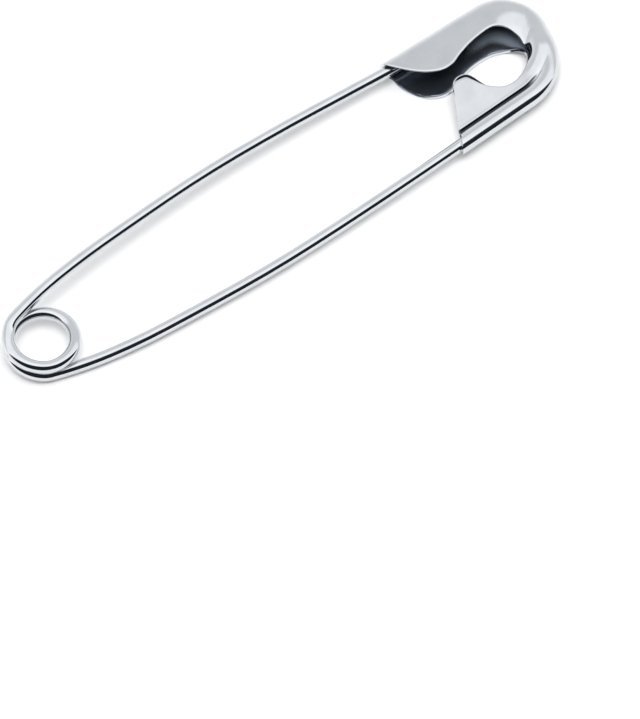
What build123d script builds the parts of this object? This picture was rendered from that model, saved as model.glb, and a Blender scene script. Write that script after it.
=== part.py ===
"""A closed safety pin of bright plated steel: one spring wire and one folded sheet clasp.

The wire is three nodes, so that the pin arm can move: fixed_arm, coil and pin_arm.
Millimetres, +Z up. The coil's axis stands at the origin and the pin points along +X.
The clasp's lower plate and the coil's lowest turn rest on the plane z = 0.
"""
import math
import os

from build123d import *

# Whole pin
overall_length = 75.0       # from the outside of the coil to the outside of the head
wire_dia = 1.4              # spring wire
sheet = 0.4                 # sheet metal of the clasp

# Coil
eye_dia = 5.8               # clear opening inside the coil
coil_gap = 0.6              # free space between one turn and the next
pin_leave = 18.0            # degrees outward at which the pin arm leaves the coil
fixed_leave = 20.0          # degrees outward at which the fixed arm leaves the coil

# Arms
shoulder_x = 12.0           # end of the sharp bend beside the coil
pin_shoulder_y = 5.8
fixed_shoulder_y = 6.1
shoulder_turn = 5.0         # degrees outward at that place
belly_share = 0.476         # where the arms stand widest, between there and the clasp's mouth
pin_belly_y = 6.85
fixed_belly_y = 7.14
point_depth = 9.6           # how far the pin arm's tip reaches into the clasp
pin_turn = 2.0              # degrees by which the pin arm leans inward at its point
point_length = 8.0
point_tip_dia = 0.12        # a real point is a little blunt
catch_gap = 0.1             # between the latched pin arm and the wall of the catch

# Clasp
clasp_length = 18.9
clasp_width = 15.2          # at the open ends of the two legs
clasp_thick = 3.2
catch_edge_y = 7.35         # outer edge of the catch leg
fixed_turn = 2.4            # degrees by which the fixed leg leans inward
head_radius = 5.4           # round top of the head
sweep_growth = 2.6          # how much wider the curve from the head to the fixed leg is
sweep_setback = 3.1         # how far that curve's centre lies behind the head's
wall_flat = 0.2             # flat band between the two roundings of the rim
tube_share = 0.556          # part of the clasp's length that is folded tight round the wire
wire_in_clasp = 12.0        # length of wire held inside the fixed leg
swell_width = 3.4           # width over which the rim grows from tube to full thickness
tab_thick = 0.8             # two layers of the sheet pressed together
tab_root = 0.3              # how far the tab reaches past the crease into the tube's wall
tab_lean = 57.3             # degrees between the clasp's slanting end and the fixed leg

# Edges of the plates, as shares of the clasp's length from the mouth and of its width
# inward from the catch leg's outer edge
lip_shares = [
    (0.0, 0.06), (0.086, 0.237), (0.166, 0.335), (0.263, 0.393), (0.348, 0.364), (0.47, 0.291),
    (0.616, 0.257), (0.724, 0.3), (0.783, 0.43), (0.757, 0.55), (0.68, 0.69),
]
guard_shares = [
    (0.0, 0.06), (0.022, 0.19), (0.092, 0.385), (0.165, 0.458), (0.254, 0.475), (0.391, 0.39),
    (0.516, 0.366), (0.63, 0.378), (0.735, 0.455), (0.762, 0.56), (0.735, 0.65), (0.67, 0.72),
]
tab_corner_share = 0.51     # how far inward the tab's slanting end turns into its round tip
tab_edge_shares = [(0.348, 0.478), (0.44, 0.645), (0.56, 0.742), (0.68, 0.712), (0.75, 0.64)]
tab_end_share = (0.79, 0.68)

wire_r = wire_dia / 2
coil_r = eye_dia / 2 + wire_r
pitch = wire_dia + coil_gap
head_x = overall_length - coil_r - wire_r
mouth_x = head_x - clasp_length
belly_x = shoulder_x + belly_share * (mouth_x - shoulder_x)
pin_reach = mouth_x + point_depth
sweep_radius = head_radius + sweep_growth
mid_z = clasp_thick / 2
tube_r = wire_r + sheet
tube_length = tube_share * clasp_length
crease = 2 * tube_r
quarter = 90.0
turn = 360.0
first_angle = quarter + pin_leave
last_angle = turn + 3 * quarter - fixed_leave
coil_top_z = wire_r + pitch * (last_angle - first_angle) / turn
catch_pin_y = catch_edge_y - sheet - catch_gap - wire_r
fixed_mouth = Vector(mouth_x, catch_edge_y - clasp_width + tube_r, mid_z)


def direction(heading, rise=0.0):
    """Unit vector at a heading from +X, seen from above, and a rise, both in degrees."""
    flat = math.cos(math.radians(rise))
    return Vector(
        flat * math.cos(math.radians(heading)),
        flat * math.sin(math.radians(heading)),
        math.sin(math.radians(rise)),
    )


def biarc(start, start_dir, end, end_dir):
    """Two arcs from one point to another that leave and arrive in the given directions."""
    span = end - start
    along = span.dot(start_dir + end_dir)
    spread = 2 * (1 - start_dir.dot(end_dir))
    span_squared = span.dot(span)
    reach = span_squared / (math.sqrt(along**2 + spread * span_squared) + along)
    first_corner = start + start_dir * reach
    second_corner = end - end_dir * reach
    middle = (first_corner + second_corner) / 2
    middle_dir = (second_corner - first_corner).normalized()
    return [
        TangentArc(start, middle, tangent=start_dir),
        TangentArc(middle, end, tangent=middle_dir),
    ]


def route(stations):
    """Smooth line of biarcs through stations, each a point and a direction."""
    edges = []
    for (start, start_dir), (end, end_dir) in zip(stations, stations[1:]):
        edges += biarc(start, start_dir, end, end_dir)
    return edges


def bent_wire(edges, start_dir):
    """Round wire swept along a line of edges."""
    line = Wire(edges)
    profile = Plane(origin=line @ 0, z_dir=start_dir) * Circle(wire_r)
    return sweep(profile, path=line)


def coil_point(angle):
    """Point on the coil's helix, which sinks from the pin arm to the fixed arm."""
    return Vector(
        coil_r * math.cos(math.radians(angle)),
        coil_r * math.sin(math.radians(angle)),
        coil_top_z - pitch * (angle - first_angle) / turn,
    )


pin_start = coil_point(first_angle)
fixed_start = coil_point(last_angle)
pin_run = (mouth_x + pin_reach) / 2 - pin_start.X
pin_fall = math.degrees(math.atan2(pin_start.Z - mid_z, pin_run))
fixed_climb = math.degrees(math.atan2(mid_z - fixed_start.Z, mouth_x - fixed_start.X))


def arm_station(start, rise, x, y, heading):
    """Point and direction on an arm that climbs or sinks evenly from the coil."""
    z = start.Z + math.tan(math.radians(rise)) * (x - start.X)
    return Vector(x, y, z), direction(heading, rise)


def coil_stations():
    """Stations on the coil, less than a quarter turn apart."""
    pieces = math.ceil((last_angle - first_angle) / quarter)
    helix_fall = -math.degrees(math.atan2(pitch, 2 * math.pi * coil_r))
    rises = [pin_fall] + [helix_fall] * (pieces - 1) + [fixed_climb]
    step = (last_angle - first_angle) / pieces
    angles = [first_angle + i * step for i in range(pieces + 1)]
    return [(coil_point(a), direction(a + quarter, rise)) for a, rise in zip(angles, rises)]


def pin_arm_stations():
    """Stations on the pin arm, from the coil to the start of its point."""
    return [
        (pin_start, direction(pin_leave, -pin_fall)),
        arm_station(pin_start, -pin_fall, shoulder_x, pin_shoulder_y, shoulder_turn),
        arm_station(pin_start, -pin_fall, belly_x, pin_belly_y, 0.0),
        arm_station(pin_start, -pin_fall, pin_reach - point_length, catch_pin_y, -pin_turn),
    ]


def fixed_arm_stations():
    """Stations on the fixed arm, from the coil to the mouth of its leg."""
    return [
        (fixed_start, direction(-fixed_leave, fixed_climb)),
        arm_station(fixed_start, fixed_climb, shoulder_x, -fixed_shoulder_y, -shoulder_turn),
        arm_station(fixed_start, fixed_climb, belly_x, -fixed_belly_y, 0.0),
        (fixed_mouth, direction(fixed_turn)),
    ]


def make_coil():
    """The spring coil, one unbroken tube."""
    stations = coil_stations()
    return bent_wire(route(stations), stations[0][1])


def make_pin_arm():
    """The moving arm with its ground point."""
    stations = pin_arm_stations()
    shank = bent_wire(route(stations), stations[0][1])
    point_start, point_dir = stations[-1]
    point = Plane(origin=point_start, z_dir=point_dir) * Cone(
        wire_r, point_tip_dia / 2, point_length, align=(Align.CENTER, Align.CENTER, Align.MIN)
    )
    return shank + point


def make_fixed_arm():
    """The arm that the clasp holds, with its straight end inside the leg."""
    stations = fixed_arm_stations()
    held_end = fixed_mouth + direction(fixed_turn) * wire_in_clasp
    edges = route(stations) + [Line(fixed_mouth, held_end)]
    return bent_wire(edges, stations[0][1])


def least_gap():
    """Smallest free space between parts of the whole wire over half a turn apart."""
    edges = route(list(reversed([(p, -d) for p, d in pin_arm_stations()])))
    edges += route(coil_stations()) + route(fixed_arm_stations())
    samples = 40
    points = [edge @ (i / samples) for edge in edges for i in range(samples)]
    travelled = [0.0]
    for before, after in zip(points, points[1:]):
        travelled.append(travelled[-1] + (after - before).length)
    apart = math.pi * coil_r
    nearest = min(
        (points[i] - points[j]).length
        for i in range(len(points))
        for j in range(i)
        if travelled[i] - travelled[j] > apart
    )
    return nearest - wire_dia


def leg_point(along, inward):
    """Plan point on the fixed leg: along it from the mouth, inward from its outer edge."""
    side = direction(fixed_turn + quarter) * (inward - tube_r)
    point = fixed_mouth + direction(fixed_turn) * along + side
    return (point.X, point.Y)


def plan_point(shares):
    """Plan point at shares of the clasp's length and width."""
    return (mouth_x + shares[0] * clasp_length, catch_edge_y - shares[1] * clasp_width)


def loop(*corners):
    """Straight lines through the corners."""
    return [Line(start, end) for start, end in zip(corners, corners[1:])]


def plan_outline(inset):
    """Clasp's outline seen from above, inside its outer edge by the inset."""
    head = (head_x - head_radius, catch_edge_y - head_radius)
    edge = leg_point(0.0, 0.0)
    slope = math.radians(fixed_turn)
    sweep_x = head[0] - sweep_setback
    edge_y = edge[1] + (sweep_x - edge[0]) * math.tan(slope)
    swept = (sweep_x, edge_y + sweep_radius / math.cos(slope))
    apart = math.hypot(head[0] - swept[0], head[1] - swept[1])
    lean = math.acos((sweep_radius - head_radius) / apart)
    join = math.degrees(math.atan2(head[1] - swept[1], head[0] - swept[0]) - lean)
    leg_side = fixed_turn - quarter
    lower = CenterArc(swept, sweep_radius - inset, leg_side, join - leg_side)
    upper = CenterArc(head, head_radius - inset, join, quarter - join)
    leg_end = leg_point(-wire_in_clasp, inset)
    catch_end = (mouth_x - wire_in_clasp, catch_edge_y - inset)
    lines = loop(upper @ 1, catch_end, leg_end, lower @ 0) + [lower, Line(lower @ 1, upper @ 0), upper]
    return make_face(lines)


def pillow(inset):
    """Solid of the outline with rounded rims, inside the outer face by the inset."""
    thick = clasp_thick - 2 * inset
    body = Pos(Z=mid_z - thick / 2) * extrude(plan_outline(inset), thick)
    flat_edges = body.edges().filter_by(lambda e: abs(e.center().Z - mid_z) > thick / 4)
    rims = [e for e in flat_edges if e.center().X > mouth_x - wire_in_clasp + sheet]
    return fillet(rims, (clasp_thick - wall_flat) / 2 - inset)


def swell(inset):
    """Long bar, round at the fixed leg's outer side and growing to the head's thickness."""
    small = tube_r - inset
    full = mid_z - inset
    inner = tube_r + swell_width
    far = inner + clasp_width
    nose = ThreePointArc((tube_r, -small), (inset, 0.0), (tube_r, small))
    sides = loop((tube_r, small), (inner, full), (far, full), (far, -full), (inner, -full), (tube_r, -small))
    edge = leg_point(0.0, 0.0)
    across = Plane(
        origin=(edge[0], edge[1], mid_z),
        x_dir=direction(fixed_turn + quarter),
        z_dir=direction(fixed_turn),
    )
    return extrude(across * make_face([nose] + sides), amount=2 * clasp_length, both=True)


def opening(edge_shares):
    """Area cut out of one plate, between the edge of its hump and the fixed leg."""
    hump = Spline(*[plan_point(shares) for shares in edge_shares])
    start = hump @ 0
    behind = (mouth_x - wire_in_clasp, start.Y)
    sides = loop(hump @ 1, leg_point(tube_length, crease), leg_point(-wire_in_clasp, crease), behind, start)
    return make_face([hump] + sides)


def leg_rod(radius, start, end):
    """Round rod on the wire's axis in the fixed leg."""
    place = Plane(origin=fixed_mouth + direction(fixed_turn) * start, z_dir=direction(fixed_turn))
    return place * Cylinder(radius, end - start, align=(Align.CENTER, Align.CENTER, Align.MIN))


def make_tab():
    """Flat tab of two pressed layers, from the fixed leg to beside the catch."""
    slant = direction(fixed_turn + tab_lean)
    corner = Vector(*leg_point(0.0, 0.0))
    rise = catch_edge_y - tab_corner_share * clasp_width - corner.Y
    left = corner + slant * (rise / slant.Y)
    edge = Spline(*[plan_point(shares) for shares in tab_edge_shares])
    root = leg_point(0.0, crease - tab_root)
    inner = leg_point(tube_length, crease - tab_root)
    sides = loop(edge @ 1, plan_point(tab_end_share), inner, root, left)
    face = make_face([TangentArc(left, edge @ 0, tangent=slant), edge] + sides)
    return Pos(Z=mid_z - tab_thick / 2) * extrude(face, tab_thick)


def slanting_end():
    """Everything behind the slanting end that the fixed leg and the tab share."""
    corner = leg_point(0.0, 0.0)
    block = Box(clasp_length, 2 * clasp_width, 2 * clasp_thick, align=(Align.MAX, Align.CENTER, Align.CENTER))
    return Location((corner[0], corner[1], mid_z), (0, 0, fixed_turn + tab_lean - quarter)) * block


def make_clasp():
    """The folded clasp: hollow head and catch, tight fixed leg and flat tab."""
    shell = (pillow(0.0) & swell(0.0)) - (pillow(sheet) & swell(sheet))
    shell -= Pos(Z=mid_z) * extrude(opening(lip_shares), clasp_thick)
    shell -= Pos(Z=mid_z - clasp_thick) * extrude(opening(guard_shares), clasp_thick)
    shell -= Pos(mouth_x, 0, mid_z) * Box(
        2 * clasp_length, 2 * clasp_width, 2 * clasp_thick,
        align=(Align.MAX, Align.CENTER, Align.CENTER),
    )
    leg_area = make_face(loop(
        leg_point(-wire_in_clasp, -crease), leg_point(tube_length - sheet, -crease),
        leg_point(tube_length - sheet, crease + sheet), leg_point(-wire_in_clasp, crease + sheet),
        leg_point(-wire_in_clasp, -crease),
    ))
    shell -= Pos(Z=-clasp_thick) * extrude(leg_area, 3 * clasp_thick)
    leg = leg_rod(tube_r, 0.0, tube_length) + make_tab() - slanting_end()
    return shell + leg - leg_rod(wire_r, -wire_r, wire_in_clasp)


os.makedirs("parts", exist_ok=True)
nodes = {
    "clasp": make_clasp(),
    "fixed_arm": make_fixed_arm(),
    "coil": make_coil(),
    "pin_arm": make_pin_arm(),
}
for name, shape in nodes.items():
    print(name, "solids", len(shape.solids()), "valid", shape.is_valid, "mm3", round(shape.volume, 2))
    export_step(shape, f"parts/{name}.step")
print("least gap of the wire to itself, mm:", round(least_gap(), 3))
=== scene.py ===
# %% [markdown]
# # A bright safety pin
# A safety pin is two pieces of metal: one length of spring wire, and one clasp that is cut from
# thin sheet and folded over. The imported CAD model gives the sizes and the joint. This lesson
# dresses it with finer metal, in the same place, and lights it like a product picture.

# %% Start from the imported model
import math

import bmesh
import bpy
from mathutils import Matrix, Vector


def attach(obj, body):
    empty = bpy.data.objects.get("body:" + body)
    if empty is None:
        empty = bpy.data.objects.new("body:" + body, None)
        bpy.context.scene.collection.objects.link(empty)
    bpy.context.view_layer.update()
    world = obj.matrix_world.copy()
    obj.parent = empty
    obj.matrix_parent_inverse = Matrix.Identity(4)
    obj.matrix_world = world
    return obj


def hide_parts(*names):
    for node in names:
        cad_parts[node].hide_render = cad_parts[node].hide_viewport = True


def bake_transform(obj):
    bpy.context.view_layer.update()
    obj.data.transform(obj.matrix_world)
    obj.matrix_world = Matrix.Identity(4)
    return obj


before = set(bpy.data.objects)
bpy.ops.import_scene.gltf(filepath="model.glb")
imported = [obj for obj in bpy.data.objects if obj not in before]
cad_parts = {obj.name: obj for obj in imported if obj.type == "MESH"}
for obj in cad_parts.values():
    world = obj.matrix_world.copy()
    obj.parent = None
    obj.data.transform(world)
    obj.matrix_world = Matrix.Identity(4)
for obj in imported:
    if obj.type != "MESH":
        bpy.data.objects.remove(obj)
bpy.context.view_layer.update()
MM = 0.001

# %% [markdown]
# ## The camera
# The photograph looks down at the table from 58 degrees, from far away with a long lens, so
# there is hardly any perspective. The place and the lens were found by laying the pin's own
# outline over the picture. The same helper aims the lamp later.

# %% The camera
CAMERA_LENS = 186.965
CAMERA_PLACE = Vector((-106.146, -190.195, 343.459)) * MM
CAMERA_TARGET = Vector((23.313, -19.020, 0.0)) * MM


def aim(thing, place, target):
    """Adds a camera or a lamp to the scene, in its place and turned to its target."""
    bpy.context.scene.collection.objects.link(thing)
    thing.location = place
    thing.rotation_euler = (target - place).to_track_quat("-Z", "Y").to_euler()


camera_data = bpy.data.cameras.new("camera")
camera_data.lens = CAMERA_LENS
camera_data.clip_start = 0.01
camera = bpy.data.objects.new("camera", camera_data)
aim(camera, CAMERA_PLACE, CAMERA_TARGET)
bpy.context.scene.camera = camera
print("camera distance in mm:", round((CAMERA_TARGET - CAMERA_PLACE).length / MM, 1))

# %% [markdown]
# ## Sizes of the wire
# All sizes are in millimetres. The wire is 1.4 mm thick and the coil's eye is 5.8 mm across.
# Both arms leave the coil turned outward, bend back, bow gently apart and run into the clasp.
# Each place is a station: a point and the direction in which the wire passes it.

# %% Sizes of the wire
WIRE_R = 0.7
COIL_R = 3.6
PITCH = 2.0
SHEET = 0.4
MID_Z = 1.6
TUBE_R = WIRE_R + SHEET
MOUTH_X = 51.8
TIP_X = 61.4
CATCH_Y = 7.35
FIRST_ANGLE = 108.0
LAST_ANGLE = 610.0
COIL_TOP = WIRE_R + PITCH * (LAST_ANGLE - FIRST_ANGLE) / 360.0
FIXED_TURN = 2.4
FIXED_MOUTH = Vector((MOUTH_X, -6.75, MID_Z))


def direction(heading, rise=0.0):
    """Unit vector at a heading seen from above and a rise, both in degrees."""
    flat = math.cos(math.radians(rise))
    turn = math.radians(heading)
    return Vector((flat * math.cos(turn), flat * math.sin(turn), math.sin(math.radians(rise))))


def coil_point(angle):
    """Point on the coil, which sinks as it winds from the pin arm to the fixed arm."""
    turn = math.radians(angle)
    height = COIL_TOP - PITCH * (angle - FIRST_ANGLE) / 360.0
    return Vector((COIL_R * math.cos(turn), COIL_R * math.sin(turn), height))


pin_start = coil_point(FIRST_ANGLE)
fixed_start = coil_point(LAST_ANGLE)
# both arms reach the height of the clasp's middle: the fixed arm at the clasp's mouth, and the
# pin arm halfway from there to its tip
pin_fall = math.degrees(math.atan2(pin_start.z - MID_Z, (MOUTH_X + TIP_X) / 2 - pin_start.x))
fixed_climb = math.degrees(math.atan2(MID_Z - fixed_start.z, MOUTH_X - fixed_start.x))
print("degrees the pin arm sinks:", round(pin_fall, 2), "the other climbs:", round(fixed_climb, 2))

# %% [markdown]
# ## Bending wire
# Real wire is bent round formers, so its line is made of arcs that meet smoothly. Between two
# stations there are always two such arcs. A curve object with a round bevel would do too, but a
# ring of points that is spun about each arc's centre gives even rings and the exact thickness.

# %% A ring and its bends
RING_POINTS = 36
STEP_DEGREES = 2.0
FEWEST_STEPS = 3


def start_ring(bm, place, heading):
    """Starts an empty mesh with a ring of the wire's thickness."""
    turn = heading.to_track_quat("Z", "Y").to_matrix().to_4x4()
    move = Matrix.Translation(place * MM) @ turn
    bmesh.ops.create_circle(bm, segments=RING_POINTS, radius=WIRE_R * MM, matrix=move)
    return bm.verts[:] + bm.edges[:]


def bend(bm, ring, place, heading, goal):
    """Spins the ring along the arc that starts in the heading and ends at the goal."""
    chord = goal - place
    swing = 2 * heading.angle(chord)
    axis = heading.cross(chord).normalized()
    radius = chord.length / (2 * math.sin(swing / 2))
    centre = place + axis.cross(heading) * radius
    steps = max(FEWEST_STEPS, math.ceil(math.degrees(swing) / STEP_DEGREES))
    spun = bmesh.ops.spin(
        bm, geom=ring, cent=centre * MM, axis=axis, angle=swing, steps=steps, use_duplicate=False
    )
    return spun["geom_last"], Matrix.Rotation(swing, 3, axis) @ heading


def bend_between(bm, ring, start, end):
    """Two arcs from one station to the next."""
    (place, heading), (goal, goal_heading) = start, end
    span = goal - place
    along = span.dot(heading + goal_heading)
    spread = 2 * (1 - heading.dot(goal_heading))
    reach = span.length_squared / (math.sqrt(along**2 + spread * span.length_squared) + along)
    middle = (place + heading * reach + goal - goal_heading * reach) / 2
    ring, heading = bend(bm, ring, place, heading, middle)
    return bend(bm, ring, middle, heading, goal)[0]


def follow(bm, stations):
    """Wire through all its stations. Returns the first and the last ring."""
    first = start_ring(bm, *stations[0])
    ring = first
    for start, end in zip(stations, stations[1:]):
        ring = bend_between(bm, ring, start, end)
    return first, ring


print("a ring has", RING_POINTS, "points and turns", STEP_DEGREES, "degrees at a time")

# %% [markdown]
# ## Ends of the wire
# A cut end is one flat face. The straight end of an arm and the ground point are pushed on from
# the last ring: it is extruded, moved on and, for the point, made smaller.

# %% Ends of the wire
def only(kind, parts):
    """The parts of one kind, vertices or edges."""
    return [part for part in parts if isinstance(part, kind)]


def cap(bm, ring):
    """Closes a ring with one face."""
    bmesh.ops.holes_fill(bm, edges=only(bmesh.types.BMEdge, ring))


def push_on(bm, ring, shift, scale, centre):
    """Extrudes a ring straight on and scales it round its centre."""
    made = bmesh.ops.extrude_edge_only(bm, edges=only(bmesh.types.BMEdge, ring))["geom"]
    verts = only(bmesh.types.BMVert, made)
    bmesh.ops.translate(bm, verts=verts, vec=shift * MM)
    move = Matrix.Translation(-(centre + shift) * MM)
    bmesh.ops.scale(bm, verts=verts, vec=(scale, scale, scale), space=move)
    moved = set(verts)
    edges = [edge for edge in only(bmesh.types.BMEdge, made) if moved.issuperset(edge.verts)]
    return verts + edges


# %% [markdown]
# ## From mesh to piece
# Spun and extruded parts share places, so doubles are merged first. Then every face is turned
# outwards and shaded smooth, while edges of more than 50 degrees, such as a cut end's, stay sharp.

# %% From mesh to piece
SAME_PLACE = 1e-7
SHARP_ANGLE = math.radians(50.0)


def finish_piece(bm, name):
    """Cleans the mesh, turns its faces outwards and makes it a smooth object."""
    bmesh.ops.remove_doubles(bm, verts=bm.verts, dist=SAME_PLACE)
    bmesh.ops.recalc_face_normals(bm, faces=bm.faces)
    mesh = bpy.data.meshes.new(name)
    bm.to_mesh(mesh)
    bm.free()
    mesh.shade_smooth()
    mesh.set_sharp_from_angle(angle=SHARP_ANGLE)
    piece = bpy.data.objects.new(name, mesh)
    bpy.context.scene.collection.objects.link(piece)
    print(name, "has", len(mesh.polygons), "faces")
    return piece


# %% [markdown]
# ## The coil
# The coil is nearly one and a half turns of the same wire, wound close. Where two turns lie over
# each other they are drawn together here, and the single turn between them shares out the step.

# %% The coil
COIL_PARTS = 14
DRAWN_CLOSER = 0.42


def close_wound_point(angle):
    """Point on the coil with its two overlapping turns drawn closer together."""
    overlap = LAST_ANGLE - FIRST_ANGLE - 360.0
    from_ends = min(angle - FIRST_ANGLE, LAST_ANGLE - angle)
    from_middle = angle - (FIRST_ANGLE + LAST_ANGLE) / 2
    if from_ends < overlap:
        share = from_ends / overlap
    else:
        share = abs(from_middle) / (180.0 - overlap / 2)
    shift = math.copysign(DRAWN_CLOSER * share, from_middle)
    return coil_point(angle) + Vector((0, 0, shift))


coil_step = (LAST_ANGLE - FIRST_ANGLE) / COIL_PARTS
coil_angles = [FIRST_ANGLE + i * coil_step for i in range(COIL_PARTS + 1)]
coil_spots = [close_wound_point(angle) for angle in coil_angles]
step_length = math.radians(coil_step) * COIL_R
coil_rises = [pin_fall]
for before, after in zip(coil_spots, coil_spots[2:]):
    coil_rises.append(math.degrees(math.atan2(after.z - before.z, 2 * step_length)))
coil_rises.append(fixed_climb)
coil_stations = [
    (spot, direction(angle + 90.0, rise))
    for spot, angle, rise in zip(coil_spots, coil_angles, coil_rises)
]
bm = bmesh.new()
for ring in follow(bm, coil_stations):
    cap(bm, ring)
spring_coil = finish_piece(bm, "spring_coil")

# %% [markdown]
# ## The arm with the point
# The arm looks straight but has a long gentle bow. Its last 8 mm are ground to a point that is a
# little fuller than a cone, as a needle's is, and the very tip is blunt enough to be strong.

# %% The arm with the point
BEND_X = 12.0
WIDEST_X = 30.945
POINT_LENGTH = 8.0
POINT_STEPS = 12
POINT_FULLNESS = 1.25
TIP_SHARE = 0.09


def on_arm(start, rise, x, y, heading):
    """Station on an arm that climbs or sinks evenly from the coil."""
    height = start.z + math.tan(math.radians(rise)) * (x - start.x)
    return Vector((x, y, height)), direction(heading, rise)


pin_stations = [
    (pin_start, direction(18.0, -pin_fall)),
    on_arm(pin_start, -pin_fall, BEND_X, 5.8, 5.0),
    on_arm(pin_start, -pin_fall, WIDEST_X, 6.85, 0.0),
    on_arm(pin_start, -pin_fall, TIP_X - POINT_LENGTH, 6.15, -2.0),
]
bm = bmesh.new()
first, ring = follow(bm, pin_stations)
cap(bm, first)
place, heading = pin_stations[-1]
size = 1.0
for i in range(1, POINT_STEPS + 1):
    wanted = 1.0 - (1.0 - TIP_SHARE) * (i / POINT_STEPS) ** POINT_FULLNESS
    shift = heading * (POINT_LENGTH / POINT_STEPS)
    ring = push_on(bm, ring, shift, wanted / size, place)
    place = place + shift
    size = wanted
cap(bm, ring)
pin_arm_wire = finish_piece(bm, "pin_arm_wire")

# %% [markdown]
# ## The fixed arm
# The other arm runs into the clasp's leg and ends inside it, cut off square.

# %% The fixed arm
HELD_LENGTH = 12.0
fixed_stations = [
    (fixed_start, direction(-20.0, fixed_climb)),
    on_arm(fixed_start, fixed_climb, BEND_X, -6.1, -5.0),
    on_arm(fixed_start, fixed_climb, WIDEST_X, -7.14, 0.0),
    (FIXED_MOUTH, direction(FIXED_TURN)),
]
bm = bmesh.new()
first, ring = follow(bm, fixed_stations)
cap(bm, first)
ring = push_on(bm, ring, direction(FIXED_TURN) * HELD_LENGTH, 1.0, FIXED_MOUTH)
cap(bm, ring)
fixed_arm_wire = finish_piece(bm, "fixed_arm_wire")

# %% [markdown]
# ## The clasp's outline
# Seen from above, the clasp's folded rim runs from the mouth of the catch along its leg, round
# the head and back along the tight leg. The rim is straight runs and two arcs, a small one round
# the head and a wider sweep into the tight leg. Everything else on the clasp is measured inward
# from the rim.

# %% The clasp's outline
HEAD_CENTRE = Vector((65.3, 1.95))
HEAD_R = 5.398
SWEEP_R = 8.0
SWEEP_X = 62.2
leg_dir = direction(FIXED_TURN).xy
leg_in = Vector((-leg_dir.y, leg_dir.x))
leg_corner = FIXED_MOUTH.xy - leg_in * TUBE_R
under_sweep = leg_corner + leg_dir * ((SWEEP_X - leg_corner.x) / leg_dir.x)
sweep_centre = under_sweep + Vector((0, SWEEP_R / leg_dir.x))
apart = HEAD_CENTRE - sweep_centre
tangent_turn = math.acos((SWEEP_R - HEAD_R) / apart.length)
JOIN_ANGLE = math.degrees(math.atan2(apart.y, apart.x) - tangent_turn)
LEG_ANGLE = FIXED_TURN - 90.0
CATCH_RUN = HEAD_CENTRE.x - MOUTH_X
HEAD_RUN = math.radians(90.0 - JOIN_ANGLE) * HEAD_R
JOIN_RUN = math.sqrt(apart.length**2 - (SWEEP_R - HEAD_R) ** 2)
SWEEP_RUN = math.radians(JOIN_ANGLE - LEG_ANGLE) * SWEEP_R
sweep_end = sweep_centre - leg_in * SWEEP_R
LEG_RUN = (sweep_end - leg_corner).dot(leg_dir)
SWEEP_START = CATCH_RUN + HEAD_RUN + JOIN_RUN
RIM_LENGTH = SWEEP_START + SWEEP_RUN + LEG_RUN
print("length of the rim in mm:", round(RIM_LENGTH, 2), "and its sweep from", round(SWEEP_START, 2))


# %% A place on the rim
def on_arc(centre, radius, angle):
    """Point on an arc and the way inward from it."""
    out = Vector((math.cos(math.radians(angle)), math.sin(math.radians(angle))))
    return centre + out * radius, -out


def rim(run):
    """Point on the rim at a length from the catch's mouth, and the way inward from it."""
    if run < CATCH_RUN:
        return Vector((MOUTH_X + run, CATCH_Y)), Vector((0.0, -1.0))
    if run < CATCH_RUN + HEAD_RUN:
        return on_arc(HEAD_CENTRE, HEAD_R, 90.0 - math.degrees((run - CATCH_RUN) / HEAD_R))
    if run < SWEEP_START:
        head_end, inward = on_arc(HEAD_CENTRE, HEAD_R, JOIN_ANGLE)
        sweep_begin = on_arc(sweep_centre, SWEEP_R, JOIN_ANGLE)[0]
        return head_end.lerp(sweep_begin, (run - CATCH_RUN - HEAD_RUN) / JOIN_RUN), inward
    if run < SWEEP_START + SWEEP_RUN:
        swept = math.degrees((run - SWEEP_START) / SWEEP_R)
        return on_arc(sweep_centre, SWEEP_R, JOIN_ANGLE - swept)
    return leg_corner + leg_dir * (RIM_LENGTH - run), leg_in


print("halfway along the rim in mm:", [round(value, 2) for value in rim(RIM_LENGTH / 2)[0]])

# %% [markdown]
# ## The free edges
# The sheet is cut before it is folded. Its upper layer ends in a wavy lip that covers the point,
# its lower layer in a fuller guard, and both go on round the window and along the tab, which is
# where the two layers are pressed together. Each edge is a smooth line through these points, and
# every point is paired with the place on the rim from which the sheet reaches it.
#
# The layers don't stay level. The upper one dips towards the lower one, most steeply at the
# window's far end, while the lower one rises, until they meet in the tab.

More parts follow.
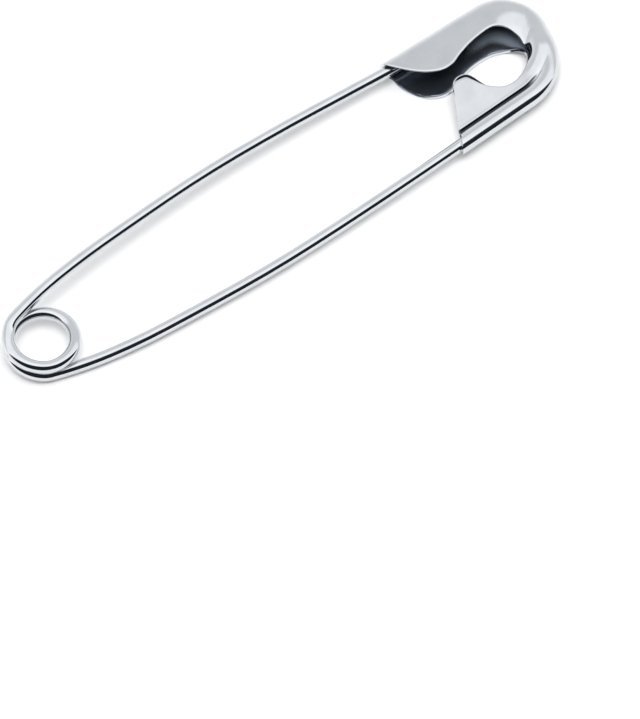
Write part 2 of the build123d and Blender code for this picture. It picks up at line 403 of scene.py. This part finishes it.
# %% The free edges
# length along the rim; edge of the upper layer; edge of the lower layer; how far the upper
# layer falls there, from the head's height; share of the lower layer's rise to the tab; and
# the width over which both bend
EDGE_TABLE = [
    (0.0, (51.80, 6.44), (51.88, 6.75), 0.0, 0.0, 1.1),
    (0.9, (52.45, 5.45), (52.38, 5.75), 0.0, 0.0, 1.1),
    (1.9, (53.20, 4.40), (52.47, 4.42), 0.0, 0.0, 1.1),
    (3.0, (54.04, 3.42), (52.95, 3.02), 0.0, 0.0, 1.1),
    (4.2, (55.02, 2.57), (53.72, 1.66), 0.0, 0.0, 1.1),
    (5.6, (56.40, 1.87), (54.95, 0.72), 0.0, 0.0, 1.1),
    (7.0, (57.85, 1.84), (56.30, 0.38), 0.0, 0.0, 1.1),
    (8.6, (59.40, 2.42), (57.90, 0.66), 0.0, 0.0, 1.1),
    (10.3, (61.20, 2.95), (59.70, 1.42), 0.0, 0.0, 1.1),
    (12.2, (63.10, 3.25), (61.70, 1.72), 0.0, 0.0, 1.1),
    (14.4, (64.62, 3.30), (63.45, 1.62), 0.05, 0.0, 2.4),
    (16.6, (65.67, 2.94), (64.65, 1.22), 0.30, 0.0, 3.2),
    (18.8, (66.32, 2.16), (65.40, 0.75), 0.62, 0.12, 3.5),
    (21.0, (66.63, 1.19), (65.85, 0.15), 0.92, 0.40, 3.4),
    (23.2, (66.68, 0.27), (66.12, -0.45), 1.20, 0.62, 2.4),
    (25.4, (66.48, -0.72), (66.14, -1.08), 1.45, 0.78, 1.7),
    (27.6, (65.93, -1.72), (65.82, -1.82), 1.34, 0.88, 1.7),
    (30.4, (65.03, -2.70), (65.05, -2.66), 1.04, 0.96, 2.0),
    (33.4, (63.75, -3.48), (63.80, -3.42), 0.86, 1.0, 2.6),
    (35.9, (62.30, -3.90), (62.35, -3.78), 0.78, 1.0, 2.6),
    (37.9, (60.85, -3.68), (60.85, -3.52), 0.78, 1.0, 2.6),
    (39.7, (59.79, -2.93), (59.90, -2.70), 0.78, 1.0, 2.6),
    (41.2, (59.01, -2.03), (59.34, -1.58), 0.78, 1.0, 2.6),
    (42.6, (58.52, -1.04), (59.00, -0.40), 0.78, 1.0, 2.6),
    (43.8, (58.08, -0.34), (58.52, 0.30), 0.78, 1.0, 2.6),
    (44.8, (57.28, -0.16), (57.68, 0.52), 0.78, 1.0, 2.6),
    (45.6, (56.62, -0.16), (56.84, 0.28), 0.78, 1.0, 2.6),
    (46.35, (56.12, -0.54), (56.16, -0.46), 0.78, 1.0, 2.6),
]
rim_places = [Vector((row[0] * RIM_LENGTH / EDGE_TABLE[-1][0], 0.0)) for row in EDGE_TABLE]
upper_edge = [Vector(row[1]) for row in EDGE_TABLE]
lower_edge = [Vector(row[2]) for row in EDGE_TABLE]
upper_falls = [Vector((row[3], row[5])) for row in EDGE_TABLE]
lower_rises = [Vector((row[4], row[5])) for row in EDGE_TABLE]
print("the free edges have", len(EDGE_TABLE), "points each")


# %% A smooth line through points
def smooth_between(values, share):
    """Point on the smooth line through values, at a place counted in values."""
    i = min(int(share), len(values) - 2)
    t = share - i
    a, b = values[max(i - 1, 0)], values[i]
    c, d = values[i + 1], values[min(i + 2, len(values) - 1)]
    square = a * 2 - b * 5 + c * 4 - d
    cube = b * 3 - a - c * 3 + d
    return (b * 2 + (c - a) * t + square * t**2 + cube * t**3) / 2


# %% [markdown]
# ## Steps over the section
# Cut across the rim, each layer of the sheet is followed in steps from the rim to its free edge:
# first over the round rim, then through the crease, and then over the plate, in steps that get
# finer towards the edge, where the sheet bends most.

# %% Steps over the section
RIM_STEPS = 14
CREASE_STEPS = 14
PLATE_STEPS = 16
SIDE_STEPS = RIM_STEPS + CREASE_STEPS + PLATE_STEPS


def ease(value, low, high):
    """Goes smoothly from 0 at low to 1 at high."""
    t = min(max((value - low) / (high - low), 0.0), 1.0)
    return t * t * (3 - 2 * t)


def mixed(a, b, share):
    """The value at a share of the way from a to b."""
    return a + (b - a) * share


def nearness(from_edge, width):
    """Goes evenly from 0 to 1 over the last width before the free edge."""
    return min(max(1 - from_edge / width, 0.0), 1.0)


def towards_edge(step):
    """Share of the way over the plate."""
    return 1 - (1 - (step - RIM_STEPS - CREASE_STEPS) / PLATE_STEPS) ** 2


print("each layer has", SIDE_STEPS, "steps from the rim to its free edge")

# %% [markdown]
# ## The section of the head
# The head is a flat hollow loop with round sides, 3.2 mm thick. Pressed sheet is never quite
# flat, so its plates are slightly crowned, and what they mirror changes from place to place.

# %% The section of the head
RIM_ROUND = 1.3
CROWN_RISE = 0.3
CROWN_REACH = 5.0
HALF_THICK = RIM_ROUND + CROWN_RISE
CREASE_END = 2.6
FALL_POWER = 2.0
# the largest shares of a short layer that the rim, the crease and the dip may take
RIM_SHARE = 0.7
CREASE_SHARE = 0.85
DIP_SHARE = 0.8


def head_section(step, reach, fall, width):
    """Inward distance and height on the head's section, up to the free edge."""
    rim_reach = min(RIM_ROUND, RIM_SHARE * reach)
    crease_reach = min(CREASE_END, CREASE_SHARE * reach)
    if step <= RIM_STEPS:
        turn = math.acos(1 - rim_reach / RIM_ROUND) * step / RIM_STEPS
        inward = RIM_ROUND * (1 - math.cos(turn))
    elif step <= RIM_STEPS + CREASE_STEPS:
        inward = mixed(rim_reach, crease_reach, (step - RIM_STEPS) / CREASE_STEPS)
    else:
        inward = mixed(crease_reach, reach, towards_edge(step))
    round_part = min(inward, RIM_ROUND)
    height = math.sqrt(RIM_ROUND**2 - (RIM_ROUND - round_part) ** 2)
    height += CROWN_RISE * (1 - (1 - min(inward / CROWN_REACH, 1.0)) ** 2)
    dipped = nearness(reach - inward, min(width, DIP_SHARE * reach))
    return inward, height - fall * dipped**FALL_POWER


print("the head is", 2 * HALF_THICK, "mm thick")

# %% [markdown]
# ## The section of the tight leg
# Here the sheet goes round the wire as a tube, then turns in a sharp crease and lies flat as the
# tab. The crease is drawn point by point, because it is the shape that catches the eye.

# %% The section of the tight leg
TUBE_TURN = 152.0
TAB_TOP = 0.775
TAB_UNDER = 0.025
TAB_TILT = math.tan(math.radians(6.5))
# inward distance and height of the crease between tube and tab, in the upper and lower layer
UPPER_CREASE = [Vector(spot) for spot in (
    (2.071, 0.516), (2.10, 0.52), (2.16, 0.575), (2.24, 0.645), (2.32, 0.712), (2.40, 0.76),
    (2.60, TAB_TOP), (3.00, TAB_TOP),
)]
LOWER_CREASE = [Vector(spot) for spot in (
    (2.071, 0.516), (2.12, 0.45), (2.20, 0.35), (2.30, 0.23), (2.42, 0.12), (2.55, 0.05),
    (2.75, TAB_UNDER), (3.00, TAB_UNDER),
)]


def tube_section(step, reach, side):
    """Inward distance and height on the tight leg's section: tube, crease and tab."""
    if step <= RIM_STEPS:
        turn = math.radians(TUBE_TURN) * step / RIM_STEPS
        return TUBE_R * (1 - math.cos(turn)), TUBE_R * math.sin(turn)
    line = UPPER_CREASE if side > 0 else LOWER_CREASE
    if step <= RIM_STEPS + CREASE_STEPS:
        place = (step - RIM_STEPS) / CREASE_STEPS * (len(line) - 1)
        inward, height = smooth_between(line, place)
    else:
        inward, height = line[-1]
        inward = mixed(inward, reach, towards_edge(step))
    return inward, height + side * TAB_TILT * max(0.0, inward - CREASE_END)


print("the tight leg is", round(2 * TUBE_R, 2), "mm thick")

# %% [markdown]
# ## The free edges' rounding
# Cutting leaves an edge a little round, and the tool that forms the lip rolls its edge slightly
# down. Both are fractions of a millimetre, but they decide how the edge glints: the sharp lip
# draws one thin bright line, the softer edges fade.

# %% The free edges' rounding
EDGE_ROUND = 0.16
LIP_ROUND = 0.05
ROUND_DEPTH = 0.9
ROLL_WIDTH = 0.34
ROLL_DEPTH = 0.08
ROLL_ENDS_AT_FALL = 0.3
# the largest share of a short layer that the rounding may take
ROUND_SHARE = 0.3


def edge_drop(from_edge, reach, side, fall, tight):
    """How far the sheet's face sinks close to its free edge."""
    drop = 0.0
    round_width = EDGE_ROUND
    if side > 0:
        rolled = nearness(from_edge, min(ROLL_WIDTH, ROUND_SHARE * reach))
        drop = ROLL_DEPTH * (1 - tight) * (1 - ease(fall, 0.0, ROLL_ENDS_AT_FALL)) * rolled**2
        round_width = mixed(LIP_ROUND, EDGE_ROUND, tight)
    near_edge = nearness(from_edge, min(round_width, ROUND_SHARE * reach))
    return drop + round_width * (1 - math.sqrt(1 - near_edge**2)) * ROUND_DEPTH


print("the lip's edge is rolled down by", ROLL_DEPTH, "mm")

# %% [markdown]
# ## Folding the clasp
# The clasp starts as a flat grid, like the sheet it is cut from: one way along the rim, the
# other way across it, from the edge of the upper layer over the rim to the edge of the lower
# one. Every point of the grid is then moved to its place on the fold. Along the sweep, the head's
# section shrinks into the tight leg's. The tab's end is cut at a slant, so the grid leans with it.

# %% A place on the fold
ALONG_STEPS = 260
HEAD_ENDS_AT = 25.9
TUBE_BEGINS_AT = 33.9
SLANT = math.tan(math.radians(90.0 - 57.3))
SLANT_LENGTH = 9.5
# share of a point's reach, of 3 mm at most, from which it leans to its own point on the free edge
PULL_SHARE = 0.35
PULL_REACH = 3.0


def folded_place(share, row):
    """Place of a grid point: a share of the rim's length, and steps over the section."""
    place = share * (len(EDGE_TABLE) - 1)
    side = -1.0 if row < 0 else 1.0
    run = min(max(smooth_between(rim_places, place).x, 0.0), RIM_LENGTH)
    outer, inward_dir = rim(run)
    edge = smooth_between(upper_edge if side > 0 else lower_edge, place)
    leg_run = RIM_LENGTH - run
    across = inward_dir.copy()
    if leg_run < LEG_RUN:
        across += leg_dir * SLANT * (1 - ease(leg_run, 0.0, SLANT_LENGTH))
    reach = (edge - outer).dot(inward_dir)
    fall, width = smooth_between(upper_falls if side > 0 else lower_rises, place)
    if side < 0:
        fall *= HALF_THICK - TAB_UNDER
    fall = max(fall, 0.0)
    tight = ease(run, HEAD_ENDS_AT, TUBE_BEGINS_AT)
    full = head_section(abs(row), reach, fall, width)
    small = tube_section(abs(row), reach, side)
    inward, height = (mixed(a, b, tight) for a, b in zip(full, small))
    height -= edge_drop(reach - inward, reach, side, fall, tight)
    spot = outer + across * inward
    pull = ease(inward, PULL_SHARE * min(reach, PULL_REACH), reach)
    spot += (edge - outer - across * reach) * pull
    return Vector((spot.x, spot.y, MID_Z + side * height)) * MM


print("the tight leg and its tab are", round(RIM_LENGTH - TUBE_BEGINS_AT, 1), "mm long")

# %% [markdown]
# ## Marks for the finishes and the painted shade
# Each point of the grid gets four marks between 0 and 1, which the materials read: how near it is
# to a cut edge, where the finish is rubbed, and three marks where shade is painted into the
# colour: in the crease by the tube, deep inside the head, and between the tab's pressed layers.

# %% Marks for the finishes
RUBBED_STEPS = 2.0
# in steps from the rim: where a mark fades in or out
VALLEY_BEGINS = (RIM_STEPS - 1.2, RIM_STEPS)
VALLEY_ENDS = (RIM_STEPS + 8, RIM_STEPS + 10)
PRESSED_STEPS = (16.0, 22.0)
# in steps from the free edge: the border of the deep part, before and after it moves
DEEP_BORDER = (12.0, 7.0)
BORDER_BLUR = 2.0
# in mm along the rim: where a mark fades in, and where that border moves
CREASE_BEGINS = (TUBE_BEGINS_AT - 2.0, TUBE_BEGINS_AT + 1.0)
DEEP_BEGINS = (10.5, 14.0)
BORDER_MOVES = (14.0, 20.0)
PRESSED_BEGINS = (34.0, 37.0)
MARKS = ("near_cut_edge", "in_crease", "deep_painted_shade", "pressed_gap_painted_shade")


def marks_at(share, row):
    """The four marks of a grid point."""
    run = smooth_between(rim_places, share * (len(EDGE_TABLE) - 1)).x
    step = abs(row)
    from_edge = min(SIDE_STEPS - step, share * ALONG_STEPS, (1 - share) * ALONG_STEPS)
    near_edge = max(0.0, 1.0 - from_edge / RUBBED_STEPS)
    in_valley = ease(step, *VALLEY_BEGINS) * (1 - ease(step, *VALLEY_ENDS))
    # mark where the crease by the tube gets painted shade
    in_crease = in_valley * ease(run, *CREASE_BEGINS)
    if row >= 0:
        return near_edge, in_crease, 0.0, 0.0
    border = mixed(*DEEP_BORDER, ease(run, *BORDER_MOVES))
    past_border = ease(SIDE_STEPS - step, border - BORDER_BLUR, border + BORDER_BLUR)
    # mark where slate-grey shade is painted deep in the head
    deep = past_border * ease(run, *DEEP_BEGINS)
    # mark where near black shade is painted between the tab's layers
    pressed = ease(step, *PRESSED_STEPS) * ease(run, *PRESSED_BEGINS)
    return near_edge, in_crease, deep, pressed


# %% Fold the grid
bm = bmesh.new()
bmesh.ops.create_grid(bm, x_segments=ALONG_STEPS, y_segments=2 * SIDE_STEPS, size=1.0)
layers = [bm.verts.layers.float.new(name) for name in MARKS]
for vert in bm.verts:
    share = (vert.co.x + 1) / 2
    row = vert.co.y * SIDE_STEPS
    for layer, mark in zip(layers, marks_at(share, row)):
        vert[layer] = mark
    vert.co = folded_place(share, row)
folded_clasp = finish_piece(bm, "folded_clasp")

# %% [markdown]
# ## Thickness of the sheet
# A grid has no inside, so after folding its faces may all point into the shell: the topmost one
# must look up. Then the Solidify modifier gives the sheet its thickness, inward, and its inner
# side the second material. The sheet is a hair thinner than the gap round the wire, so that the
# two don't touch. An Edge Split keeps the cut edges crisp, which a bevel would round off.

# %% Thickness of the sheet
WIRE_CLEARANCE = 0.02
top = max(folded_clasp.data.polygons, key=lambda face: face.center.z)
if top.normal.z < 0:
    folded_clasp.data.flip_normals()
    print("turned the clasp's faces round")
wall = folded_clasp.modifiers.new("sheet thickness", "SOLIDIFY")
wall.thickness = (SHEET - WIRE_CLEARANCE) * MM
wall.offset = -1.0
wall.use_even_offset = False
wall.material_offset = 1
wall.material_offset_rim = 0
cut_edge = folded_clasp.modifiers.new("crisp cut edge", "EDGE_SPLIT")
cut_edge.split_angle = SHARP_ANGLE
print("the sheet is", round(wall.thickness / MM, 2), "mm thick")

# %% [markdown]
# ## Nickel plating
# The pin is steel with bright nickel on it. Nickel mirrors its surroundings with a cool grey
# tint. A plain mirror looks false, so the finish has three small faults that repeat on every
# piece: a faint haze that varies in patches, hair-fine scratches along the metal, and rubbed
# edges. They are node groups, built once and set per material.

# %% Helpers for node groups
def new_group(name, inputs, outputs):
    """Empty shader group with named sockets."""
    group = bpy.data.node_groups.new(name, "ShaderNodeTree")
    for label, kind, default in inputs:
        socket = group.interface.new_socket(name=label, in_out="INPUT", socket_type=kind)
        socket.default_value = default
    for label, kind in outputs:
        group.interface.new_socket(name=label, in_out="OUTPUT", socket_type=kind)
    source = group.nodes.new("NodeGroupInput")
    result = group.nodes.new("NodeGroupOutput")
    print("new group:", name)
    return group, source, result


def add(tree, kind, **settings):
    """New node. A setting in_N is the value of its input N, counted from 0."""
    node = tree.nodes.new(kind)
    for key, value in settings.items():
        if key.startswith("in_"):
            node.inputs[int(key[3:])].default_value = value
        else:
            setattr(node, key, value)
    return node


# %% Haze that varies in patches
haze_group, given, out = new_group(
    "plating haze",
    [("Patch size", "NodeSocketFloat", 400.0), ("Bright", "NodeSocketColor", (1, 1, 1, 1)),
     ("Hazed", "NodeSocketColor", (0.5, 0.5, 0.5, 1))],
    [("Color", "NodeSocketColor"), ("Haze", "NodeSocketFloat")],
)
where = add(haze_group, "ShaderNodeTexCoord")
patches = add(haze_group, "ShaderNodeTexNoise", in_3=3.0, in_4=0.55)
sharpen = add(haze_group, "ShaderNodeMapRange", in_1=0.35, in_2=0.7)
tint = add(haze_group, "ShaderNodeMix", data_type="RGBA")
haze_group.links.new(where.outputs["Object"], patches.inputs["Vector"])
haze_group.links.new(given.outputs["Patch size"], patches.inputs["Scale"])
haze_group.links.new(patches.outputs[0], sharpen.inputs[0])
haze_group.links.new(sharpen.outputs[0], tint.inputs[0])
haze_group.links.new(given.outputs["Bright"], tint.inputs[6])
haze_group.links.new(given.outputs["Hazed"], tint.inputs[7])
haze_group.links.new(tint.outputs[2], out.inputs["Color"])
haze_group.links.new(sharpen.outputs[0], out.inputs["Haze"])

# %% Fine scratches along the metal
scratch_group, given, out = new_group(
    "fine scratches",
    [("Direction", "NodeSocketVector", (1, 1, 1)), ("Fineness", "NodeSocketFloat", 3000.0)],
    [("Height", "NodeSocketFloat")],
)
where = add(scratch_group, "ShaderNodeTexCoord")
stretch = add(scratch_group, "ShaderNodeVectorMath", operation="MULTIPLY")
lines = add(scratch_group, "ShaderNodeTexNoise", in_3=2.0, in_4=0.6)
scratch_group.links.new(where.outputs["Object"], stretch.inputs[0])
scratch_group.links.new(given.outputs["Direction"], stretch.inputs[1])
scratch_group.links.new(stretch.outputs[0], lines.inputs["Vector"])
scratch_group.links.new(given.outputs["Fineness"], lines.inputs["Scale"])
scratch_group.links.new(lines.outputs[0], out.inputs["Height"])

# %% Rubbed edges
wear_group, given, out = new_group(
    "rubbed edge",
    [("Edge", "NodeSocketFloat", 0.0), ("Breakup", "NodeSocketFloat", 1500.0)],
    [("Mask", "NodeSocketFloat")],
)
where = add(wear_group, "ShaderNodeTexCoord")
crumbs = add(wear_group, "ShaderNodeTexNoise", in_3=2.0, in_4=0.5)
ragged = add(wear_group, "ShaderNodeMath", operation="MULTIPLY")
wear_group.links.new(where.outputs["Object"], crumbs.inputs["Vector"])
wear_group.links.new(given.outputs["Breakup"], crumbs.inputs["Scale"])
wear_group.links.new(crumbs.outputs[0], ragged.inputs[0])
wear_group.links.new(given.outputs["Edge"], ragged.inputs[1])
wear_group.links.new(ragged.outputs[0], out.inputs["Mask"])

# %% [markdown]
# ## A plated material
# Wire and sheet share one recipe. The haze drives colour and roughness, the scratches drive a
# bump, the rubbed edges are duller, and the crease by the tube is coloured dark: painted shade in
# the crease.

# %% A plated material
PATCH_SIZE = 350.0
RUBBED_DULLER = 0.12
SCRATCH_STRENGTH = 0.25
# painted shade: the colour of the crease by the tube
CREASE_PAINTED_SHADE = (0.05, 0.055, 0.065, 1)


def painted_over(tree, colour, mark, paint):
    """The colour, with another one over it where the piece is marked."""
    marked = add(tree, "ShaderNodeAttribute", attribute_name=mark)
    mix = add(tree, "ShaderNodeMix", data_type="RGBA", in_7=paint)
    tree.links.new(marked.outputs["Fac"], mix.inputs[0])
    tree.links.new(colour, mix.inputs[6])
    return mix.outputs[2]


def plated(name, bright, hazed, roughness, grain, fineness, depth):
    """Nickel plating: reflective metal with haze, fine scratches, rubbed edges and painted crease
    shade.
    """
    material = bpy.data.materials.new(name)
    material.use_nodes = True
    tree = material.node_tree
    shader = tree.nodes["Principled BSDF"]
    shader.inputs["Metallic"].default_value = 1.0
    haze = add(tree, "ShaderNodeGroup", node_tree=haze_group)
    haze.inputs["Patch size"].default_value = PATCH_SIZE
    haze.inputs["Bright"].default_value = bright
    haze.inputs["Hazed"].default_value = hazed
    # painted shade in the crease by the tube
    colour = painted_over(tree, haze.outputs["Color"], "in_crease", CREASE_PAINTED_SHADE)
    tree.links.new(colour, shader.inputs["Base Color"])

    edge = add(tree, "ShaderNodeAttribute", attribute_name="near_cut_edge")
    wear = add(tree, "ShaderNodeGroup", node_tree=wear_group)
    gloss = add(tree, "ShaderNodeMapRange", in_3=roughness[0], in_4=roughness[1])
    duller = add(tree, "ShaderNodeMath", operation="MULTIPLY_ADD", in_1=RUBBED_DULLER)
    tree.links.new(haze.outputs["Haze"], gloss.inputs[0])
    tree.links.new(edge.outputs["Fac"], wear.inputs["Edge"])
    tree.links.new(wear.outputs["Mask"], duller.inputs[0])
    tree.links.new(gloss.outputs[0], duller.inputs[2])
    tree.links.new(duller.outputs[0], shader.inputs["Roughness"])

    scratches = add(tree, "ShaderNodeGroup", node_tree=scratch_group)
    scratches.inputs["Direction"].default_value = grain
    scratches.inputs["Fineness"].default_value = fineness
    bump = add(tree, "ShaderNodeBump")
    bump.inputs["Strength"].default_value = SCRATCH_STRENGTH
    bump.inputs["Distance"].default_value = depth
    tree.links.new(scratches.outputs["Height"], bump.inputs["Height"])
    tree.links.new(bump.outputs["Normal"], shader.inputs["Normal"])
    return material


# %% [markdown]
# ## Wire and sheet
# The wire is drawn through a die before it is bent, so its scratches run along it. The sheet is
# rolled and then tumbled with the finished pins, which leaves it a little softer.

# %% Wire and sheet
NICKEL = (0.69, 0.70, 0.72, 1)
HAZED_NICKEL = (0.63, 0.645, 0.67, 1)
wire_finish = plated(
    "drawn nickel wire", NICKEL, HAZED_NICKEL,
    roughness=(0.05, 0.10), grain=(0.05, 1, 1), fineness=4000.0, depth=2e-6,
)
sheet_finish = plated(
    "tumbled nickel sheet", NICKEL, HAZED_NICKEL,
    roughness=(0.06, 0.12), grain=(0.2, 1, 1), fineness=2500.0, depth=2e-6,
)
for piece in (spring_coil, pin_arm_wire, fixed_arm_wire):
    piece.data.materials.append(wire_finish)
folded_clasp.data.materials.append(sheet_finish)
print("outer finishes:", wire_finish.name, "and", sheet_finish.name)

# %% [markdown]
# ## Inside the fold
# The inner side is duller, and its colour is a darker, bluer copy of the nickel: painted shade
# inside the fold. Deep in the head the colour is painted slate-grey shade, which hardly mirrors
# any more. Between the tab's layers and in the gap by the tab's tip it is painted near black shade.

# %% Inside the fold
# painted shade: the inner side's colour is darkened and turned bluer
SHADED_INSIDE_NICKEL = (0.42, 0.47, 0.54, 1)
HAZED_SHADED_INSIDE_NICKEL = (0.32, 0.36, 0.42, 1)
# painted shade deep inside the head
SLATE_PAINTED_SHADE = (0.235, 0.28, 0.33, 1)
# painted shade between the tab's layers and in the gap by its tip
GAP_PAINTED_SHADE = (0.012, 0.014, 0.018, 1)
THIN_METALLIC = 0.97
SLATE_METALLIC = 0.2
inner_finish_and_shade = plated(
    "duller plating with painted shade inside the fold", SHADED_INSIDE_NICKEL, HAZED_SHADED_INSIDE_NICKEL,
    roughness=(0.14, 0.24), grain=(1, 1, 1), fineness=2500.0, depth=3e-6,
)
tree = inner_finish_and_shade.node_tree
shader = tree.nodes["Principled BSDF"]
plating = shader.inputs["Base Color"].links[0].from_socket
# painted slate-grey shade deep in the head
greyed = painted_over(tree, plating, "deep_painted_shade", SLATE_PAINTED_SHADE)
# painted near black shade between the tab's layers
blackened = painted_over(tree, greyed, "pressed_gap_painted_shade", GAP_PAINTED_SHADE)
tree.links.new(blackened, shader.inputs["Base Color"])
deep = add(tree, "ShaderNodeAttribute", attribute_name="deep_painted_shade")
less_metal = add(tree, "ShaderNodeMapRange", in_3=THIN_METALLIC, in_4=SLATE_METALLIC)
tree.links.new(deep.outputs["Fac"], less_metal.inputs[0])
tree.links.new(less_metal.outputs[0], shader.inputs["Metallic"])
folded_clasp.data.materials.append(inner_finish_and_shade)
print("the clasp's materials:", [material.name for material in folded_clasp.data.materials])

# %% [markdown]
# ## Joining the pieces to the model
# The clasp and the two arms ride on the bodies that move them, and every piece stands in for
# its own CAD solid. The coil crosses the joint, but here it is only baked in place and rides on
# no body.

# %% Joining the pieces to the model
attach(folded_clasp, "frame")
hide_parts("clasp")
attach(fixed_arm_wire, "frame")
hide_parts("fixed_arm")
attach(pin_arm_wire, "pin_arm")
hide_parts("pin_arm")
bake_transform(spring_coil)
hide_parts("coil")
print("four pieces stand in for the four solids")

# %% [markdown]
# ## The floor
# The pin lies on a white table that fades into a white background. The floor adds a little
# light of its own, only as the camera, mirrors and glass see it, so that it comes out white
# while the lamp's soft shadow stays.

# %% The floor
FLOOR_SIZE = 3.0
FLOOR_GREY = 0.8
FLOOR_GLOW = 0.1
bm = bmesh.new()
bmesh.ops.create_grid(bm, x_segments=1, y_segments=1, size=FLOOR_SIZE)
floor_mesh = bpy.data.meshes.new("floor")
bm.to_mesh(floor_mesh)
bm.free()
floor = bpy.data.objects.new("floor", floor_mesh)
bpy.context.scene.collection.objects.link(floor)
floor_finish = bpy.data.materials.new("white table")
floor_finish.use_nodes = True
tree = floor_finish.node_tree
matt = tree.nodes["Principled BSDF"]
matt.inputs["Base Color"].default_value = (FLOOR_GREY, FLOOR_GREY, FLOOR_GREY, 1)
matt.inputs["Roughness"].default_value = 0.9
matt.inputs["Specular IOR Level"].default_value = 0.0
glow = add(tree, "ShaderNodeEmission", in_0=(1, 1, 1, 1))
rays = add(tree, "ShaderNodeLightPath")
seen = add(tree, "ShaderNodeMath", operation="MAXIMUM")
seen_through = add(tree, "ShaderNodeMath", operation="MAXIMUM")
lift = add(tree, "ShaderNodeMath", operation="MULTIPLY", in_1=FLOOR_GLOW)
both = add(tree, "ShaderNodeAddShader")
tree.links.new(rays.outputs["Is Camera Ray"], seen.inputs[0])
tree.links.new(rays.outputs["Is Glossy Ray"], seen.inputs[1])
tree.links.new(seen.outputs[0], seen_through.inputs[0])
tree.links.new(rays.outputs["Is Transmission Ray"], seen_through.inputs[1])
tree.links.new(seen_through.outputs[0], lift.inputs[0])
tree.links.new(lift.outputs[0], glow.inputs["Strength"])
tree.links.new(matt.outputs[0], both.inputs[0])
tree.links.new(glow.outputs[0], both.inputs[1])
tree.links.new(both.outputs[0], tree.nodes["Material Output"].inputs["Surface"])
floor.data.materials.append(floor_finish)
print("the floor is", 2 * FLOOR_SIZE, "m wide")

# %% [markdown]
# ## The studio
# Mirror-bright metal shows the room, so the room is part of the picture. It changes in one
# direction only, from the far wall over the ceiling to the wall on the camera's side. The
# ceiling is white, which the wire mirrors as a broad highlight. Halfway up the far side lies a
# light grey, which the flat plates mirror. The camera's side is nearly black from 26 degrees
# past straight up, which draws the black line along each wire. The background that the camera
# itself sees is white.

# %% The studio
# the level direction to the room's dark side
FRONT_DIR = (-0.42, -0.907, 0.0)
# lean of a direction from straight up, in degrees towards the dark side, and the room's grey
PANEL_STOPS = [
    (-90.0, 0.84), (-62.0, 0.68), (-45.0, 0.61), (-32.0, 0.62), (-21.0, 0.88), (-8.0, 0.90),
    (5.0, 0.98), (17.0, 1.0), (26.0, 0.02), (90.0, 0.02),
]
ROOM_STRENGTH = 1.36
BACKGROUND = (0.8, 0.8, 0.8, 1)


def cool(grey):
    """A grey that leans to blue, the more the darker it is."""
    return grey * 0.985 - 0.008, grey * 0.995 - 0.004, grey, 1


world = bpy.data.worlds.new("studio")
world.use_nodes = True
bpy.context.scene.world = world
tree = world.node_tree
ground = tree.nodes["Background"]
ground.inputs["Strength"].default_value = ROOM_STRENGTH
where = add(tree, "ShaderNodeTexCoord")
height = add(tree, "ShaderNodeSeparateXYZ")
forward = add(tree, "ShaderNodeVectorMath", operation="DOT_PRODUCT", in_1=FRONT_DIR)
lean = add(tree, "ShaderNodeMath", operation="ARCTAN2")
along_room = add(tree, "ShaderNodeMath", operation="MULTIPLY_ADD", in_1=1 / math.pi, in_2=0.5)
panels = add(tree, "ShaderNodeValToRGB")
panels.color_ramp.interpolation = "EASE"
while len(panels.color_ramp.elements) < len(PANEL_STOPS):
    panels.color_ramp.elements.new(0.5)
for element, (degrees, grey) in zip(panels.color_ramp.elements, PANEL_STOPS):
    element.position = degrees / 180.0 + 0.5
    element.color = cool(grey)
rays = add(tree, "ShaderNodeLightPath")
seen = add(tree, "ShaderNodeMix", data_type="RGBA", in_7=BACKGROUND)
tree.links.new(where.outputs["Generated"], height.inputs[0])
tree.links.new(where.outputs["Generated"], forward.inputs[0])
tree.links.new(forward.outputs["Value"], lean.inputs[0])
tree.links.new(height.outputs["Z"], lean.inputs[1])
tree.links.new(lean.outputs[0], along_room.inputs[0])
tree.links.new(along_room.outputs[0], panels.inputs[0])
tree.links.new(rays.outputs["Is Camera Ray"], seen.inputs[0])
tree.links.new(panels.outputs[0], seen.inputs[6])
tree.links.new(seen.outputs[2], ground.inputs["Color"])
print("the room has", len(PANEL_STOPS), "greys from wall to wall")

# %% [markdown]
# ## The lamp
# One soft box hangs over the camera's side of the pin and draws the soft shadow beside the wire.
# It is hidden from mirrors, because the room's white ceiling already stands for it there.

# %% The lamp
LAMP_SIZE = 0.4
LAMP_ENERGY = 2.6
LAMP_PLACE = Vector((-0.02, -0.09, 0.6))
LAMP_TARGET = Vector((0.03, 0.0, 0.0))
lamp_data = bpy.data.lights.new("soft box", "AREA")
lamp_data.shape = "SQUARE"
lamp_data.size = LAMP_SIZE
lamp_data.energy = LAMP_ENERGY
lamp = bpy.data.objects.new("soft box", lamp_data)
aim(lamp, LAMP_PLACE, LAMP_TARGET)
lamp.visible_glossy = False
bpy.context.scene.view_settings.view_transform = "Standard"
print("the lamp hangs", round((LAMP_TARGET - LAMP_PLACE).length, 2), "m away")
